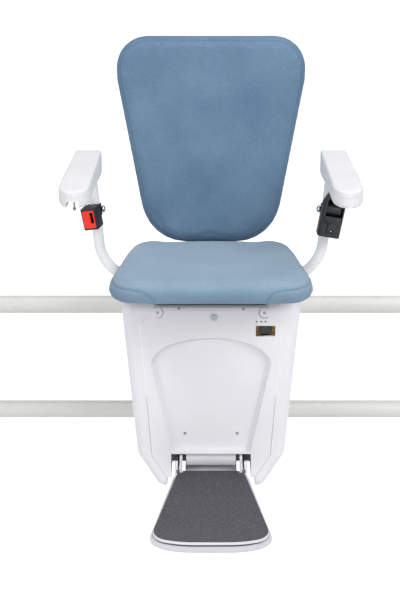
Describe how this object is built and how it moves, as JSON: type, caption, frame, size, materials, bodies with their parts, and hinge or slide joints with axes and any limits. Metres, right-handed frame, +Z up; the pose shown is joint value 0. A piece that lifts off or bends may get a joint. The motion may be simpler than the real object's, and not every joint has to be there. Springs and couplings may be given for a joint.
{
  "type": "stairlift chair",
  "caption": "Stairlift chair on a twin tube rail: swivelling padded seat with folding seat, arms and footrest on a driven carriage.",
  "frame": {"origin": "on the axis of the upper rail tube, at the middle of the carriage and of the rail section", "axes": "+X along the rails, to the right of someone who faces the chair; the chair faces -Y; +Z is up"},
  "size_m": [1.2, 0.7607, 1.0093],
  "materials": {
    "rail_enamel": "gloss white powder coat",
    "zinc_steel": "bright zinc plate",
    "frame_paint": "satin grey paint",
    "cover_plastic": "satin moulded white",
    "arm_plastic": "satin moulded white",
    "tube_enamel": "gloss white powder coat",
    "cast_alloy": "as cast",
    "motor_black": "satin black",
    "board_green": "solder mask",
    "switch_brown": "bonded paper laminate",
    "dark_plastic": "moulded black",
    "lamp_green": "moulded green lens",
    "roller_rubber": "cast polyurethane",
    "shell_plastic": "moulded grey",
    "upholstery": "blue-grey woven upholstery",
    "toggle_chrome": "bright chrome",
    "red_plastic": "moulded red",
    "webbing_black": "black webbing and tongue",
    "grit": "grit-faced dark grey mat"
  },
  "bodies": {
    "rails": {"upper_rail": "rail_enamel", "lower_rail": "rail_enamel", "toothed_rack": "zinc_steel"},
    "carriage": {"chassis_frame": "frame_paint", "front_cover": "cover_plastic", "left_side_cover": "cover_plastic", "right_side_cover": "cover_plastic", "upper_bogie_bracket": "frame_paint", "lower_bogie_bracket": "frame_paint", "roller_axles": "zinc_steel", "drive_motor": "motor_black", "gearbox": "cast_alloy", "battery_tray": "zinc_steel", "batteries": "motor_black", "control_board": "board_green", "switch_plate": "switch_brown", "switch_housing": "dark_plastic", "indicator_leds": "lamp_green", "cover_screws": "zinc_steel", "centre_bolt": "zinc_steel", "swivel_post": "zinc_steel", "swivel_bearing": "zinc_steel", "footrest_brackets": "frame_paint", "footrest_pins": "zinc_steel"},
    "left_hanger": {"left_hanger_roller": "roller_rubber"},
    "right_hanger": {"right_hanger_roller": "roller_rubber"},
    "pinion": {"drive_pinion": "zinc_steel"},
    "left_thrust": {"left_thrust_roller": "roller_rubber"},
    "right_thrust": {"right_thrust_roller": "roller_rubber"},
    "left_keeper": {"left_keeper_roller": "roller_rubber"},
    "right_keeper": {"right_keeper_roller": "roller_rubber"},
    "rocker": {"power_rocker": "dark_plastic"},
    "seat_unit": {"swivel_plate": "frame_paint", "seat_frame": "frame_paint", "left_arm_tube": "tube_enamel", "right_arm_tube": "tube_enamel", "backrest_bracket": "frame_paint", "backrest_shell": "shell_plastic", "backrest_cushion": "upholstery", "hinge_pins": "zinc_steel", "belt_brackets": "dark_plastic", "buckle_body": "dark_plastic", "reel_case": "dark_plastic", "reel_spool": "dark_plastic"},
    "catch_lever": {"swivel_lever": "dark_plastic"},
    "seat_pad": {"seat_base": "shell_plastic", "seat_cushion": "upholstery"},
    "left_arm": {"left_arm_upper_shell": "arm_plastic", "left_arm_lower_shell": "arm_plastic", "left_arm_hinge_block": "cast_alloy", "toggle_switch": "dark_plastic"},
    "right_arm": {"right_arm_upper_shell": "arm_plastic", "right_arm_lower_shell": "arm_plastic", "right_arm_hinge_block": "cast_alloy"},
    "toggle": {"toggle_lever": "toggle_chrome"},
    "release_button": {"buckle_button": "red_plastic"},
    "tongue": {"belt_tongue": "webbing_black"},
    "footrest": {"foot_plate": "cover_plastic", "grit_mat": "grit"},
    "pan": {"safety_pan": "cover_plastic"}
  },
  "joints": [
    {"name": "carriage_travel", "type": "slide", "parent": "rails", "child": "carriage", "axis": [1, 0, 0], "range_m": [-0.2, 0.2]},
    {"name": "pinion_spin", "type": "hinge", "parent": "carriage", "child": "pinion", "pos_m": [0, 0.0655, 0], "axis": [0, 0, 1], "range_deg": [-400, 400]},
    {"name": "left_hanger_spin", "type": "hinge", "parent": "carriage", "child": "left_hanger", "pos_m": [-0.08, 0, 0.0408], "axis": [0, 1, 0], "range_deg": [-700, 700]},
    {"name": "left_thrust_spin", "type": "hinge", "parent": "carriage", "child": "left_thrust", "pos_m": [-0.08, -0.0368, -0.29], "axis": [0, 0, 1], "range_deg": [-900, 900]},
    {"name": "left_keeper_spin", "type": "hinge", "parent": "carriage", "child": "left_keeper", "pos_m": [-0.08, 0.0368, -0.29], "axis": [0, 0, 1], "range_deg": [-900, 900]},
    {"name": "right_hanger_spin", "type": "hinge", "parent": "carriage", "child": "right_hanger", "pos_m": [0.08, 0, 0.0408], "axis": [0, 1, 0], "range_deg": [-700, 700]},
    {"name": "right_thrust_spin", "type": "hinge", "parent": "carriage", "child": "right_thrust", "pos_m": [0.08, -0.0368, -0.29], "axis": [0, 0, 1], "range_deg": [-900, 900]},
    {"name": "right_keeper_spin", "type": "hinge", "parent": "carriage", "child": "right_keeper", "pos_m": [0.08, 0.0368, -0.29], "axis": [0, 0, 1], "range_deg": [-900, 900]},
    {"name": "rocker_tilt", "type": "hinge", "parent": "carriage", "child": "rocker", "pos_m": [0.1226, -0.319, 0.0572], "axis": [0, 0, 1], "range_deg": [-7, 7]},
    {"name": "seat_swivel", "type": "hinge", "parent": "carriage", "child": "seat_unit", "pos_m": [0, -0.215, 0.131], "axis": [0, 0, 1], "range_deg": [-90, 90]},
    {"name": "lever_swing", "type": "hinge", "parent": "seat_unit", "child": "catch_lever", "pos_m": [0.096, -0.262, 0.1428], "axis": [0, 0, -1], "range_deg": [0, 12], "stiffness_Nm_per_rad": 1, "springref_deg": -5.73},
    {"name": "seat_fold", "type": "hinge", "parent": "seat_unit", "child": "seat_pad", "pos_m": [0, -0.121, 0.171], "axis": [-1, 0, 0], "range_deg": [0, 78]},
    {"name": "left_arm_fold", "type": "hinge", "parent": "seat_unit", "child": "left_arm", "pos_m": [-0.27159, -0.215, 0.412], "axis": [-1, 0, 0], "range_deg": [0, 90]},
    {"name": "right_arm_fold", "type": "hinge", "parent": "seat_unit", "child": "right_arm", "pos_m": [0.27159, -0.215, 0.412], "axis": [-1, 0, 0], "range_deg": [0, 90]},
    {"name": "toggle_tilt", "type": "hinge", "parent": "left_arm", "child": "toggle", "pos_m": [-0.275, -0.505, 0.4178], "axis": [0, 1, 0], "range_deg": [-12, 12], "stiffness_Nm_per_rad": 0.05},
    {"name": "button_press", "type": "slide", "parent": "seat_unit", "child": "release_button", "axis": [0.2382, 0.9703, 0.042], "range_m": [0, 0.004], "stiffness_N_per_m": 300, "springref_m": -0.001},
    {"name": "tongue_pull", "type": "slide", "parent": "seat_unit", "child": "tongue", "axis": [0, -1, 0], "range_m": [0, 0.04], "stiffness_N_per_m": 25, "springref_m": -0.03},
    {"name": "footrest_fold", "type": "hinge", "parent": "carriage", "child": "footrest", "pos_m": [0, -0.325, -0.3], "axis": [-1, 0, 0], "range_deg": [0, 75]},
    {"name": "pan_lift", "type": "slide", "parent": "footrest", "child": "pan", "axis": [0, 0, 1], "range_m": [0, 0.0035], "stiffness_N_per_m": 400, "springref_m": -0.006}
  ],
  "couplings": [
    {"joint": "pinion_spin", "follows": "carriage_travel", "rad_per_m": -31.25},
    {"joint": "left_hanger_spin", "follows": "carriage_travel", "rad_per_m": 55.556},
    {"joint": "left_thrust_spin", "follows": "carriage_travel", "rad_per_m": 71.429},
    {"joint": "left_keeper_spin", "follows": "carriage_travel", "rad_per_m": -71.429},
    {"joint": "right_hanger_spin", "follows": "carriage_travel", "rad_per_m": 55.556},
    {"joint": "right_thrust_spin", "follows": "carriage_travel", "rad_per_m": 71.429},
    {"joint": "right_keeper_spin", "follows": "carriage_travel", "rad_per_m": -71.429}
  ]
}
